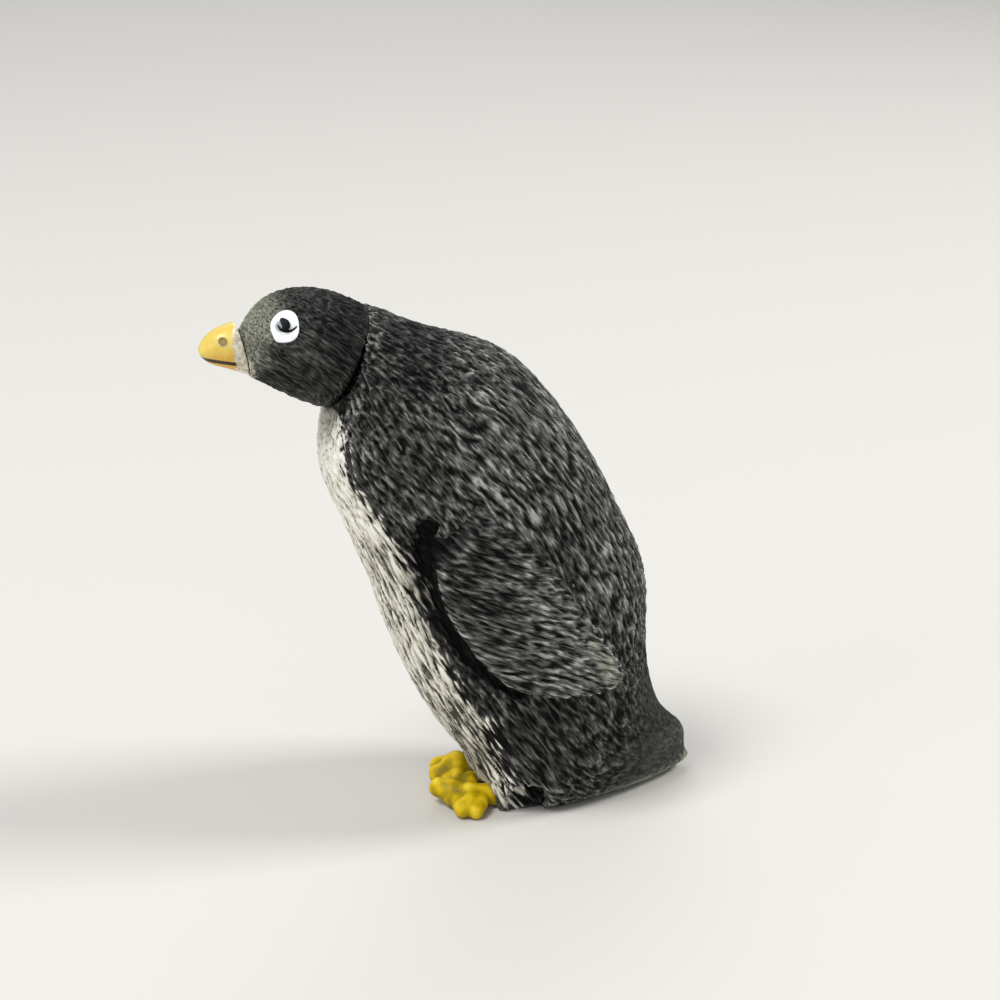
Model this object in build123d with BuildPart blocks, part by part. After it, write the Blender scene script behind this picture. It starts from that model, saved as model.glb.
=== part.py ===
from build123d import *
import os

os.makedirs("parts", exist_ok=True)

# Frame: the penguin looks along -Y, its left side is +X, the table is Z = 0.
# The origin lies on the table below the middle of the figure.

# Trunk and tail, one moulding
trunk_length = 36.4
trunk_height = 49.1
trunk_width = 18.8

# Head
head_length = 9.4
head_height = 10.6
head_width = 9.8
neck_plug_diameter = 5.2
neck_plug_length = 4.0

# Beak
beak_length = 3.6
beak_height = 4.8
beak_width = 4.1
beak_plug_diameter = 1.6
beak_plug_length = 2.2
mouth_gape = 0.3
mouth_depth = 0.3
nostril_diameter = 0.7

# Flippers
flipper_length = 24.4
flipper_width = 11.4
flipper_thickness = 2.1
flipper_angle = 54.0
flipper_plug_diameter = 3.0
flipper_plug_length = 3.4

# Feet
foot_length = 3.3
foot_width = 5.2
foot_spacing = 6.0
right_foot_setback = 0.5
right_foot_turn = 12.0
web_thickness = 1.0
toe_diameter = 1.7
toe_height = 1.4
instep_height = 3.9
instep_diameter = 4.2
leg_diameter = 1.6
leg_height = 7.2
leg_setback = 1.2

# Hollows in the rim behind the feet
hollow_width = 3.6
hollow_height = 3.3

# Eyes, brushed on as thick enamel
eye_height = 2.9
eye_width = 2.5
pupil_height = 1.2
pupil_width = 0.9
enamel_thickness = 0.25
eye_tilt = 25.0
eye_turn = 12.0

# Fits
fit_clearance = 0.06
enamel_gap = 0.02
overrun = 3.0
form_tolerance = 0.001

# A half section is one curve of degree five. With these shares it is half an
# ellipse, and a smaller rear share makes the back more pointed. At the middle of
# such a curve its second and third points weigh 5/32 and 10/32 each.
round_share = 0.663
wall_share = 0.45
shoulder_weight_share = 5 / 32
wall_weight_share = 10 / 32
section_steps = 12

# Trunk sections from the neck down to the table: front point and back point, each as
# (length share from the chest, height share), then half width, widest place and
# how round the back end is
trunk_shares = (
    (0.022, 0.802, 0.125, 0.984, 0.54, 0.50, round_share),
    (0.014, 0.765, 0.22, 0.955, 0.69, 0.50, round_share),
    (0.005, 0.705, 0.39, 0.915, 0.84, 0.52, round_share),
    (0.02, 0.655, 0.518, 0.860, 0.93, 0.53, round_share),
    (0.05, 0.600, 0.618, 0.775, 0.98, 0.54, round_share),
    (0.09, 0.530, 0.703, 0.675, 1.00, 0.54, round_share),
    (0.13, 0.455, 0.785, 0.560, 1.00, 0.54, round_share),
    (0.16, 0.380, 0.845, 0.450, 0.99, 0.54, round_share),
    (0.205, 0.295, 0.855, 0.335, 0.96, 0.53, round_share),
    (0.255, 0.220, 0.87, 0.230, 0.92, 0.50, round_share),
    (0.30, 0.163, 0.907, 0.155, 0.88, 0.47, 0.58),
    (0.35, 0.112, 0.963, 0.110, 0.84, 0.42, 0.48),
    (0.38, 0.066, 0.99, 0.070, 0.78, 0.38, 0.36),
    (0.39, 0.028, 1.00, 0.036, 0.70, 0.34, 0.32),
    (0.41, 0.000, 0.95, 0.000, 0.54, 0.28, 0.20),
)

# How the flipper stands off the trunk at each of those sections: the share of its
# thickness, and how far ahead of the trunk's its widest place is, as a share of the
# section. So it stands up at its leading edge and runs out behind and at the shoulder.
flipper_swells = (
    (0.12, 0.00),
    (0.12, 0.00),
    (0.12, 0.00),
    (0.15, 0.02),
    (0.28, 0.06),
    (0.48, 0.08),
    (0.70, 0.10),
    (0.80, 0.10),
    (0.84, 0.07),
    (0.85, 0.05),
    (0.85, 0.05),
    (0.85, 0.05),
    (0.85, 0.05),
    (0.85, 0.05),
    (0.85, 0.05),
)

# Head sections from the neck to the face: lower point and upper point, each as
# (length share from the neck, height share from the neck's centre), then half width
head_shares = (
    (0.40, -0.360, 0.25, 0.580, 1.00),
    (0.65, -0.245, 0.58, 0.570, 0.96),
    (0.83, -0.150, 0.80, 0.470, 0.80),
    (0.945, -0.094, 0.925, 0.330, 0.60),
    (0.93, -0.045, 1.005, 0.250, 0.40),
)

# Beak sections from the face to the tip: length share, lower and upper edge as height
# shares from the face's centre, and half width
beak_shares = (
    (0.00, -0.45, 0.55, 1.00),
    (0.32, -0.30, 0.54, 0.90),
    (0.60, -0.17, 0.49, 0.74),
    (0.80, -0.07, 0.41, 0.52),
    (0.93, 0.04, 0.32, 0.32),
    (1.00, 0.14, 0.24, 0.12),
)
mouth_shares = ((0.27, -0.13), (1.10, 0.11))
nostril_shares = (0.43, 0.32)

# Outline of a flipper from the shoulder round the leading edge: shares of its
# length along its line and of its width ahead of that line
flipper_shares = (
    (0.00, 0.00),
    (0.03, 0.42),
    (0.20, 0.68),
    (0.46, 0.81),
    (0.67, 0.77),
    (0.86, 0.48),
    (1.00, 0.00),
    (0.80, -0.05),
    (0.58, -0.14),
    (0.33, -0.11),
)
shoulder_shares = (0.33, 0.68)
flipper_plug_shares = (0.36, 0.36)
flipper_round_share = 0.3

# Outline of a foot from behind its instep round the inner toe: shares of its width
# from its middle and of its length ahead of its instep
foot_shares = (
    (-0.20, -0.40),
    (-0.43, 0.15),
    (-0.43, 0.97),
    (-0.17, 0.62),
    (0.04, 0.76),
    (0.24, 0.52),
    (0.42, 0.46),
    (0.45, -0.05),
    (0.20, -0.40),
)
toe_shares = ((-0.39, 1.05), (0.03, 0.78), (0.38, 0.50))
instep_share = 0.371

hollow_share = 0.49
hollow_root_share = 0.47
eye_shares = (0.64, 0.36)
eye_root_share = 0.40


def section_plane(front, back):
    """The plane that holds the X axis and both points of the mid plane."""
    across = Vector(1, 0, 0)
    along = Vector(back) - Vector(front)
    middle = (Vector(front) + Vector(back)) / 2
    return Plane(origin=middle, x_dir=across, z_dir=across.cross(along))


def half_section(front, back, half_width, widest_share=0.5, rear_share=round_share):
    """The left half of a section, from its front point round to its back point."""
    half_depth = (back - front).length / 2
    end_pull = shoulder_weight_share * (round_share + rear_share)
    wall_x = (1 - end_pull) / (2 * wall_weight_share) * half_width
    wall_shift = (2 * widest_share - 1) / (2 * wall_weight_share) * half_depth
    with BuildLine(section_plane(front, back)) as curve:
        Bezier(
            (0, -half_depth),
            (round_share * half_width, -half_depth),
            (wall_x, wall_shift - wall_share * half_depth),
            (wall_x, wall_shift + wall_share * half_depth),
            (rear_share * half_width, half_depth),
            (0, half_depth),
        )
    return curve.edge()


def moulding(curves):
    """A solid that is alike on both sides, laid smoothly through its half sections."""
    rows = []
    for curve in curves:
        stations = [step / section_steps for step in range(section_steps + 1)]
        rows.append([curve.position_at(share, PositionMode.PARAMETER) for share in stations])
    left = Face.make_surface_from_array_of_points(rows, tol=form_tolerance)
    ends = []
    for row in (rows[0], rows[-1]):
        rim = left.edges().sort_by_distance(row[section_steps // 2])[0]
        ends.append(Face(Wire([rim, rim.mirror(Plane.YZ)])))
    return Solid(Shell([left, left.mirror(Plane.YZ), *ends]))


# The beak's tip, measured from the neck's centre, sets where the trunk stands, so
# that the origin lies below the middle of the figure
face_low = Vector(0, -head_shares[-1][0] * head_length, head_shares[-1][1] * head_height)
face_top = Vector(0, -head_shares[-1][2] * head_length, head_shares[-1][3] * head_height)
face_plane = section_plane(face_low, face_top)
tip_share = (beak_shares[-1][1] + beak_shares[-1][2]) / 2
beak_tip = face_plane.from_local_coords((0, tip_share * beak_height, beak_length))
neck_share = (trunk_shares[0][0] + trunk_shares[0][2]) / 2
chest_y = -(trunk_length * (1 + neck_share) + beak_tip.Y) / 2


def trunk_point(length_share, height_share):
    """A point of the trunk's outline in the mid plane."""
    return Vector(0, chest_y + length_share * trunk_length, height_share * trunk_height)


neck_low = trunk_point(trunk_shares[0][0], trunk_shares[0][1])
neck_top = trunk_point(trunk_shares[0][2], trunk_shares[0][3])
neck_half_width = trunk_shares[0][4] * trunk_width / 2
neck_plane = section_plane(neck_low, neck_top)
neck_centre = neck_plane.origin
beak_plane = section_plane(neck_centre + face_low, neck_centre + face_top)


def trunk_form(swells, swell):
    """The trunk, each section widened by its share of the swell and leaned ahead."""
    curves = []
    for row, (swell_share, lean_share) in zip(trunk_shares, swells):
        front = trunk_point(row[0], row[1])
        back = trunk_point(row[2], row[3])
        half_width = row[4] * trunk_width / 2 + swell_share * swell
        widest_share = row[5] - lean_share
        curves.append(half_section(front, back, half_width, widest_share, row[6]))
    return moulding(curves)


def head_form(skin):
    """The head from the neck to the face, under a skin of the given thickness."""
    rim = neck_plane.y_dir * skin
    curves = [half_section(neck_low - rim, neck_top + rim, neck_half_width + skin)]
    for low_y, low_z, top_y, top_z, width_share in head_shares:
        low = neck_centre + Vector(0, -low_y * head_length, low_z * head_height)
        top = neck_centre + Vector(0, -top_y * head_length, top_z * head_height)
        rim = (top - low).normalized() * skin
        half_width = width_share * head_width / 2 + skin
        curves.append(half_section(low - rim, top + rim, half_width))
    return moulding(curves)


def beak_form(width):
    """The beak from the face to its tip, as wide as asked."""
    curves = []
    for length_share, low_share, high_share, width_share in beak_shares:
        ahead = length_share * beak_length
        low = beak_plane.from_local_coords((0, low_share * beak_height, ahead))
        high = beak_plane.from_local_coords((0, high_share * beak_height, ahead))
        curves.append(half_section(low, high, width_share * width / 2))
    return moulding(curves)


def foot_plane(side):
    """The plane of the table below an instep; side is 1 for left and -1 for right."""
    setback = right_foot_setback if side < 0 else 0
    turn = right_foot_turn if side < 0 else 0
    middle = trunk_point(instep_share, 0) + Vector(side * foot_spacing / 2, setback, 0)
    return Plane(origin=middle, x_dir=Vector(1, 0, 0).rotate(Axis.Z, turn))


def leg_form(side, skin):
    """An instep with the leg that rises from it into the trunk, under a skin."""
    middle = foot_plane(side).origin
    radius = instep_diameter / 2 + skin
    with BuildPart() as form:
        with BuildSketch(Plane(origin=middle)):
            Circle(radius)
        extrude(amount=instep_height + skin - radius)
        with Locations(middle + Vector(0, 0, instep_height + skin - radius)):
            Sphere(radius, arc_size1=0)
        with BuildSketch(Plane(origin=middle + Vector(0, leg_setback, 0))):
            Circle(leg_diameter / 2 + skin)
        extrude(amount=leg_height + skin)
    return form.part


def foot_form(side):
    """A foot with its web, toes, instep and leg."""
    table = foot_plane(side)
    with BuildPart() as form:
        with BuildSketch(table):
            with BuildLine():
                Spline(
                    [(side * x * foot_width, -y * foot_length) for x, y in foot_shares],
                    periodic=True,
                )
            make_face()
        extrude(amount=web_thickness)
        toe_radius = toe_diameter / 2
        level = toe_height - toe_radius
        root = table.from_local_coords((0, 0, level))
        for x, y in toe_shares:
            tip = table.from_local_coords((side * x * foot_width, -y * foot_length, level))
            run = (tip - root).normalized()
            with BuildSketch(Plane(origin=root, z_dir=run)):
                Circle(toe_radius)
            extrude(amount=(tip - root).length - toe_radius)
            with Locations(tip - run * toe_radius):
                Sphere(toe_radius)
        with BuildSketch(table):
            Rectangle(3 * foot_width, 3 * foot_width)
        extrude(amount=-overrun, mode=Mode.SUBTRACT)
        add(leg_form(side, 0))
    return form.part


def flipper_form():
    """The left flipper: a blade laid round the trunk, and the plug that holds it."""
    with BuildPart() as form:
        with BuildSketch(flipper_plane):
            with BuildLine():
                Spline(
                    [(x * flipper_length, -y * flipper_width) for x, y in flipper_shares],
                    periodic=True,
                )
            make_face()
        extrude(amount=trunk_width)
        add(trunk_form(flipper_swells, flipper_thickness), mode=Mode.INTERSECT)
        add(trunk_form([(1, 0)] * len(trunk_shares), fit_clearance), mode=Mode.SUBTRACT)
        outer_face = form.faces().sort_by(Axis.X)[-1]
        fillet(outer_face.edges(), radius=flipper_round_share * flipper_thickness)
        with BuildSketch(plug_plane.offset(-flipper_plug_length)):
            Circle(flipper_plug_diameter / 2)
        extrude(amount=flipper_plug_length + flipper_thickness / 2)
    return form.part


def eye_form(height, width, inner_skin, outer_skin):
    """A dab of enamel on the left side of the head, between two skins."""
    with BuildPart() as form:
        with BuildSketch(eye_plane):
            Ellipse(width / 2, height / 2)
        extrude(amount=overrun, both=True)
        add(head_form(outer_skin), mode=Mode.INTERSECT)
        add(head_form(inner_skin), mode=Mode.SUBTRACT)
    return form.part


# Line of the left flipper: from the shoulder down and back, seen from the left
shoulder = trunk_point(shoulder_shares[0], shoulder_shares[1])
flipper_line = Vector(0, 1, 0).rotate(Axis.X, -flipper_angle)
flipper_plane = Plane(origin=shoulder, x_dir=flipper_line, z_dir=(1, 0, 0))
plug_spot = flipper_plane.from_local_coords(
    (flipper_plug_shares[0] * flipper_length, -flipper_plug_shares[1] * flipper_width, 0)
)
plug_plane = Plane(origin=plug_spot, z_dir=(1, 0, 0)).offset(trunk_width / 2)

eye_spot = neck_centre + Vector(
    eye_root_share * head_width, -eye_shares[0] * head_length, eye_shares[1] * head_height
)
eye_normal = Vector(1, 0, 0).rotate(Axis.Y, -eye_tilt).rotate(Axis.Z, -eye_turn)
eye_plane = Plane(origin=eye_spot, x_dir=(0, -1, 0), z_dir=eye_normal)

with BuildPart() as sockets:
    with BuildSketch(neck_plane.offset(overrun)):
        Circle(neck_plug_diameter / 2 + fit_clearance)
    extrude(amount=-overrun - neck_plug_length - fit_clearance)
    with BuildSketch(plug_plane.offset(-flipper_plug_length - fit_clearance)):
        Circle(flipper_plug_diameter / 2 + fit_clearance)
    plug_hole = extrude(amount=flipper_plug_length + overrun)
    mirror(plug_hole, about=Plane.YZ)
    with BuildSketch(Plane.YZ.offset(hollow_root_share * trunk_width / 2)):
        hollow_y = chest_y + hollow_share * trunk_length
        with Locations((hollow_y, hollow_height - hollow_width / 2)):
            Circle(hollow_width / 2)
        with Locations((hollow_y, 0)):
            Rectangle(hollow_width, 2 * hollow_height - hollow_width)
    hollow = extrude(amount=trunk_width / 2)
    mirror(hollow, about=Plane.YZ)
    for side in (1, -1):
        add(leg_form(side, fit_clearance))

with BuildPart() as body:
    add(trunk_form([(0, 0)] * len(trunk_shares), 0))
    add(sockets.part, mode=Mode.SUBTRACT)
body.part.label = "body"
export_step(body.part, "parts/body.step")

with BuildPart() as head:
    add(head_form(0))
    with BuildSketch(neck_plane):
        Circle(neck_plug_diameter / 2)
    extrude(amount=-neck_plug_length)
    with BuildSketch(beak_plane.offset(-fit_clearance)):
        Rectangle(head_width, head_height)
    extrude(amount=overrun, mode=Mode.SUBTRACT)
    with BuildSketch(beak_plane):
        Circle(beak_plug_diameter / 2 + fit_clearance)
    extrude(amount=-beak_plug_length - fit_clearance, mode=Mode.SUBTRACT)
head.part.label = "head"
export_step(head.part, "parts/head.step")

# The mouth and the nostrils stop at the beak's core
side_view = Plane(origin=beak_plane.origin, x_dir=beak_plane.z_dir, z_dir=(-1, 0, 0))
mouth_points = [(x * beak_length, y * beak_height) for x, y in mouth_shares]
mouth_start = side_view.from_local_coords(mouth_points[0])
mouth_end = side_view.from_local_coords(mouth_points[1])
mouth_plane = Plane(origin=mouth_start, x_dir=mouth_end - mouth_start, z_dir=(-1, 0, 0))
with BuildPart() as beak_marks:
    with BuildSketch(mouth_plane):
        mouth_align = (Align.MIN, Align.CENTER)
        Rectangle((mouth_end - mouth_start).length, mouth_gape, align=mouth_align)
    extrude(amount=beak_width, both=True)
    with BuildSketch(side_view):
        with Locations((nostril_shares[0] * beak_length, nostril_shares[1] * beak_height)):
            Circle(nostril_diameter / 2)
    extrude(amount=beak_width, both=True)
    add(beak_form(beak_width - 2 * mouth_depth), mode=Mode.SUBTRACT)

with BuildPart() as beak:
    add(beak_form(beak_width))
    add(beak_marks.part, mode=Mode.SUBTRACT)
    with BuildSketch(beak_plane):
        Circle(beak_plug_diameter / 2)
    extrude(amount=-beak_plug_length)
beak.part.label = "beak"
export_step(beak.part, "parts/beak.step")

with BuildPart() as flipper_left:
    add(flipper_form())
flipper_left.part.label = "flipper_left"
export_step(flipper_left.part, "parts/flipper_left.step")

with BuildPart() as flipper_right:
    mirror(flipper_left.part, about=Plane.YZ)
flipper_right.part.label = "flipper_right"
export_step(flipper_right.part, "parts/flipper_right.step")

with BuildPart() as foot_left:
    add(foot_form(1))
foot_left.part.label = "foot_left"
export_step(foot_left.part, "parts/foot_left.step")

with BuildPart() as foot_right:
    add(foot_form(-1))
foot_right.part.label = "foot_right"
export_step(foot_right.part, "parts/foot_right.step")

with BuildPart() as eye_white_left:
    add(eye_form(eye_height, eye_width, enamel_gap, enamel_thickness))
eye_white_left.part.label = "eye_white_left"
export_step(eye_white_left.part, "parts/eye_white_left.step")

with BuildPart() as eye_white_right:
    mirror(eye_white_left.part, about=Plane.YZ)
eye_white_right.part.label = "eye_white_right"
export_step(eye_white_right.part, "parts/eye_white_right.step")

with BuildPart() as pupil_left:
    add(eye_form(pupil_height, pupil_width, enamel_thickness + enamel_gap, 2 * enamel_thickness))
pupil_left.part.label = "pupil_left"
export_step(pupil_left.part, "parts/pupil_left.step")

with BuildPart() as pupil_right:
    mirror(pupil_left.part, about=Plane.YZ)
pupil_right.part.label = "pupil_right"
export_step(pupil_right.part, "parts/pupil_right.step")
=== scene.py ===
import math

import bmesh
import bpy
import numpy as np
from mathutils import Matrix, Vector
from mathutils.bvhtree import BVHTree


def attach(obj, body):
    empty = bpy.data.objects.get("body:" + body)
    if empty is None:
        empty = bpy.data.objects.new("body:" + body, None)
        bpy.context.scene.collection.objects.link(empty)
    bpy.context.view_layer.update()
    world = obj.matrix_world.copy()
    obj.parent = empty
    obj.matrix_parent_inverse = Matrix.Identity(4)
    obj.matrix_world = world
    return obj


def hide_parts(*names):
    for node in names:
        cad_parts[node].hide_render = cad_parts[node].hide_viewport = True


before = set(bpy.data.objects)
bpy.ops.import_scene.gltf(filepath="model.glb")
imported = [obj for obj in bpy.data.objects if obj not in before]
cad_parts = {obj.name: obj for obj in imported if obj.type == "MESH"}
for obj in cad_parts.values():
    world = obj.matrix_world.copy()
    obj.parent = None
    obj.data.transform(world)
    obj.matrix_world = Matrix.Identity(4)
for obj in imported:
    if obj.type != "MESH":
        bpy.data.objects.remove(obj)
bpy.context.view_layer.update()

bl_info = {
    "name": "Painted penguin figurine",
    "version": (1, 0, 0),
    "blender": (4, 5, 0),
    "location": "3D View > Sidebar > Penguin",
    "description": "Dresses the figurine's solids as a hand-painted moulding",
    "category": "Object",
}

MM = 0.001
# Points of a CAD mesh closer than this, in mm, are one point
WELD = 0.0005
# Rounds that relax the flow of the strokes until it hardly moves
RELAXING_ROUNDS = 3000

# All lengths below are in mm, back from the middle of the figure or up from the table,
# up to the lights. The moulded feather strokes in the side view: place back and height,
# degrees down towards the tail, and how much grey the dry brush left there
# on the belly the same value sets how light the white comes out, and the low values low down make
# it darker there
BODY_STROKES = (
    (-16, 44, 25, 0.10), (-10, 45, 30, 0.00), (-5, 45, 17, 0.05), (2, 42, 33, 0.50),
    (6, 38, 42, 0.75), (12, 29, 50, 0.75), (15, 20, 60, 0.60), (16, 12, 52, 0.35),
    (-11, 39, 52, 0.10), (-7, 39, 43, 0.10), (-1, 38, 31, 0.55), (3, 35, 42, 0.60),
    (8, 28, 50, 0.30), (-9, 35, 48, 0.30), (-8, 30, 62, 0.35), (-6, 26, 72, 0.00),
    (-4, 20, 65, 0.10), (-1, 13, 53, 0.10), (4, 10, 56, 0.05), (8, 8, 52, 0.20),
    (15, 5, 22, 0.20), (21, 5, 0, 0.00), (18, 1.5, -6, 0.80), (22, 2, -8, 0.80),
    (5, 5, 50, 0.25), (1, 33.5, 32, 1.10), (-13.5, 38.5, 80, 1.10), (-12.5, 35, 80, 0.90),
    (-11, 29, 66, 0.60), (-8, 23, 70, 0.50), (-6, 17, 68, 0.50), (-3, 12, 58, 0.20),
    (0, 6, 52, 0.00), (1, 2, 60, 0.20),
)
FLIPPER_STROKES = (
    (-4, 29, 40, 0.35), (-1, 28, 20, 0.20), (4, 22, 13, 0.90), (0, 22, 20, 0.15),
    (8, 16, 22, 1.00), (11, 15, 34, 1.20), (1, 33, 33, 0.90), (4, 17, 16, 0.70),
    (8, 21, 20, 0.95), (4, 28, 24, 0.45), (9, 24, 40, 0.40),
)

# Edge of the white belly: height, half width and how far back, in mm
BELLY_EDGE = (
    (0.0, 5.0, 3.0), (3.7, 5.6, 2.7), (5.8, 5.4, 1.6), (8.4, 6.0, 1.2), (10.6, 6.3, 0.4),
    (12.4, 5.8, -1.4), (14.4, 5.4, -2.7), (18.3, 5.1, -4.4), (22.4, 5.4, -5.8),
    (26.4, 5.7, -7.0), (30.1, 5.2, -9.1), (33.7, 4.0, -11.4), (37.4, 4.3, -11.7),
    (39.2, 3.2, -12.1), (40.2, 0.0, -12.3),
)

# How much farther back the white reaches, how sharply it ends, and where its value stops
BELLY_SHIFT = 1.6
BELLY_SHARPNESS = 1.3
BELLY_LIMIT = 3.0
# How far back the trunk turns into the smooth tail, and the paint brushed along the
# tail's lower edge
TAIL_RANGE = (9, 15)
TAIL_RIM_HEIGHT = 0.7
TAIL_RIM_WIDTH = 0.6
TAIL_RIM_COVER = 0.9
# The dent in the belly between the feet, and the place of a foot's socket: to the side
# and back
DENT_DEPTH = 0.5
DENT_WIDTH = 1.8
LEG_SPOT = (3.0, 1.2)

# Front edge of a flipper in the side view, from the shoulder to the lower edge
FLIPPER_FRONT = (
    (-4.6, 30.0), (-4.9, 27.4), (-4.5, 24.9), (-3.5, 21.8), (-2.0, 18.9), (-0.4, 16.7),
    (1.4, 15.0), (3.9, 13.8),
)
# Rear edge of a flipper: share of its length, and share of its width ahead of its line
FLIPPER_REAR = ((0.0, 0.0), (0.33, -0.11), (0.58, -0.14), (0.80, -0.05), (1.0, 0.0))

# Feet: runs of balls from one (left, back, up, radius) in mm to another, for the leg,
# the instep, the toes and the web
FOOT_LUMPS = {
    "left": (
        ((3.0, 3.0, 0.9, 0.8), (3.0, 4.4, 6.0, 0.6)),
        ((2.9, 2.4, 1.1, 1.0), (2.7, 0.0, 1.4, 1.2)),
        ((2.4, -0.2, 1.3, 1.15), (0.85, -2.4, 1.6, 1.02)),
        ((3.4, 0.0, 1.1, 1.1), (4.4, -1.1, 0.9, 0.97)),
        ((3.6, 0.6, 1.0, 1.0), (4.9, -0.1, 0.8, 0.9)),
        ((4.0, -0.4, 1.0, 1.0), (4.5, -0.6, 0.9, 0.95)),
        ((2.2, -0.6, 0.8, 1.1), (3.2, -0.8, 0.8, 1.1)),
        ((1.5, -0.7, 1.2, 1.1), (0.5, -0.3, 1.5, 1.05)),
        ((1.7, 0.2, 1.3, 1.05), (0.7, 0.6, 1.8, 0.95)),
        ((1.0, -1.6, 1.1, 1.0), (3.6, -0.9, 0.9, 1.0)),
    ),
    "right": (
        ((-3.0, 3.0, 0.9, 0.8), (-3.0, 4.4, 6.0, 0.6)),
        ((-2.9, 2.4, 1.1, 1.0), (-2.9, 1.0, 1.3, 1.1)),
        ((-3.0, 1.2, 1.4, 1.5), (-3.0, 0.4, 1.8, 1.5)),
        ((-3.4, 0.1, 1.4, 1.2), (-4.5, -0.75, 1.25, 1.05)),
        ((-3.0, 0.0, 1.2, 1.1), (-3.1, -1.25, 1.1, 1.05)),
        ((-2.2, 0.3, 1.1, 1.1), (-1.3, -0.9, 0.9, 0.95)),
        ((-3.6, -0.7, 0.9, 0.9), (-2.2, -0.8, 0.8, 0.9)),
        ((-2.4, 0.2, 1.2, 1.1), (-1.2, -0.2, 1.2, 1.0)),
    ),
}
# Painted shade in the hollows of the feet: left, back and radius, in mm
FOOT_HOLLOW_SHADE = ((1.2, -0.4, 1.0), (0.4, 0.7, 0.9), (2.6, -1.5, 0.5), (-2.1, -1.3, 0.6))

# Shoulder of a flipper, the angle of its rear line, its length along that line and its
# width across it
FLIPPER_ROOT = (-1.12, 33.39)
FLIPPER_LINE = math.radians(54)
FLIPPER_LENGTH = 24.4
FLIPPER_WIDTH = 11.4

# The groove ahead of a flipper: back and up from the flipper's edge, with the width of
# the groove and of the painted shade laid into it
FURROW_SHIFT = (-0.75, -0.45)
FURROW_WIDTH = 0.8
FURROW_SHADE_WIDTH = 0.95
# How far ahead of its rear edge and how far below its shoulder a flipper rises from the
# trunk, how deep its edges sink into it, and over which shares of its length it comes free
BLADE_RISE = (0.2, 2.6)
SHOULDER_RANGE = (2, 5)
BLADE_SINK = 0.3
SHOULDER_SINK = 0.35
FREE_SHARES = (0.66, 0.9)
STREAK_SHARES = (0.66, 0.8)
# Above this height over the trunk a flipper's edge gets dry-brushed grey and a painted
# highlight, and below it painted shade, near black, takes over
EDGE_HEIGHT = 1.4
# Farther out than any point of the trunk
CLEAR_OF_TRUNK = 30
SIDES = ((1, "left"), (-1, "right"))

# The neck's plane, the fold of the cheek ahead of it, and the groove in the plane with
# the painted shade laid into it
NECK_PLACE = Vector((0, -10.45, 43.85))
NECK_AHEAD = Vector((0, -0.92, 0.39)).normalized()
CHEEK_AHEAD = 4.1
NECK_GROOVE_WIDTH = 0.5
NECK_SHADE_WIDTH = 0.45
# The beak's root and axes; the nostril, the mouth's corner and the way of the mouth line
# are given ahead and up from that root, and their paint fades out between two distances
BEAK_PLACE = Vector((0, -19.55, 44.93))
BEAK_AHEAD = Vector((0, -0.9755, -0.2199))
BEAK_UP = Vector((0, -0.2199, 0.9755))
NOSTRIL = (1.55, 1.54)
NOSTRIL_EDGE = (0.25, 0.62)
MOUTH_CORNER = (0.97, -0.62)
MOUTH_WAY = (2.988, 1.152)
MOUTH_EDGE = (0.12, 0.24)
# The left eye's middle and the way that it faces
EYE_PLACE = Vector((4.0, -16.4, 47.65))
EYE_NORMAL = Vector((0.887, -0.188, 0.423))
# The brushed line below the pupil: ahead and up from the eye's middle, and its height
# over the head, in mm
LINE_ROUTE = ((0.68, 0.12), (0.55, -0.25), (0.1, -0.5), (-0.4, -0.5), (-0.85, -0.18))
LINE_HEIGHT = 0.27

# The camera that was fitted to the photograph: its turn and rise and its view in degrees,
# what it aims at and how far away it is, in mm
CAMERA_TURN = 72
CAMERA_RISE = 17
CAMERA_ANGLE = 28
CAMERA_AIM = (0, 3.88, 29.24)
CAMERA_DISTANCE = 184.5
# Soft lights: name, place and aim in metres, size in metres and power in watts. The one
# called floor mostly lights the paper far behind the figure.
LIGHTS = (
    ("key", (0.25, -0.55, 1.00), (0, 0, 0.025), 0.40, 8.0),
    ("back", (0.20, 0.85, 0.85), (0, 0, 0.025), 0.35, 8.5),
    ("fill", (0.90, -0.20, 0.30), (0, 0, 0.025), 0.60, 0.8),
    ("front", (0.35, -0.95, 0.30), (0, 0, 0.025), 0.50, 1.6),
    ("floor", (-1.40, 0.30, 1.30), (-1.4, 0.3, 0), 1.20, 10.0),
)
FLOOR_REACH = 3.0


def linear(code):
    """A colour given as an sRGB hex code, as linear red, green, blue and alpha."""
    parts = [int(code[k:k + 2], 16) / 255 for k in (1, 3, 5)]
    return [p / 12.92 if p <= 0.04045 else ((p + 0.055) / 1.055) ** 2.4 for p in parts] + [1.0]


def add_node(tree, kind, inputs=None, stops=(), **settings):
    """Adds a node; each input is a value, or an output that gets linked to it. The stops
    of a colour ramp are its places, each with a hex code or a linear colour."""
    node = tree.nodes.new(kind)
    for name, value in settings.items():
        setattr(node, name, value)
    for key, value in (inputs or {}).items():
        if isinstance(value, bpy.types.NodeSocket):
            tree.links.new(value, node.inputs[key])
        else:
            node.inputs[key].default_value = value
    if stops:
        points = node.color_ramp.elements
        while len(points) < len(stops):
            points.new(1.0)
        for point, (place, colour) in zip(points, stops):
            point.position = place
            point.color = linear(colour) if isinstance(colour, str) else colour
    return node


def places_of(mesh):
    """The mesh's vertices as an array."""
    places = np.empty(len(mesh.vertices) * 3)
    mesh.vertices.foreach_get("co", places)
    return places.reshape(-1, 3)


def normals_of(mesh):
    """The mesh's vertex normals as an array."""
    normals = np.empty(len(mesh.vertices) * 3)
    mesh.vertex_normals.foreach_get("vector", normals)
    return normals.reshape(-1, 3)


def put_places(mesh, places):
    """Moves the mesh's vertices."""
    mesh.vertices.foreach_set("co", np.ascontiguousarray(places, dtype=float).ravel())
    mesh.update()


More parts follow.
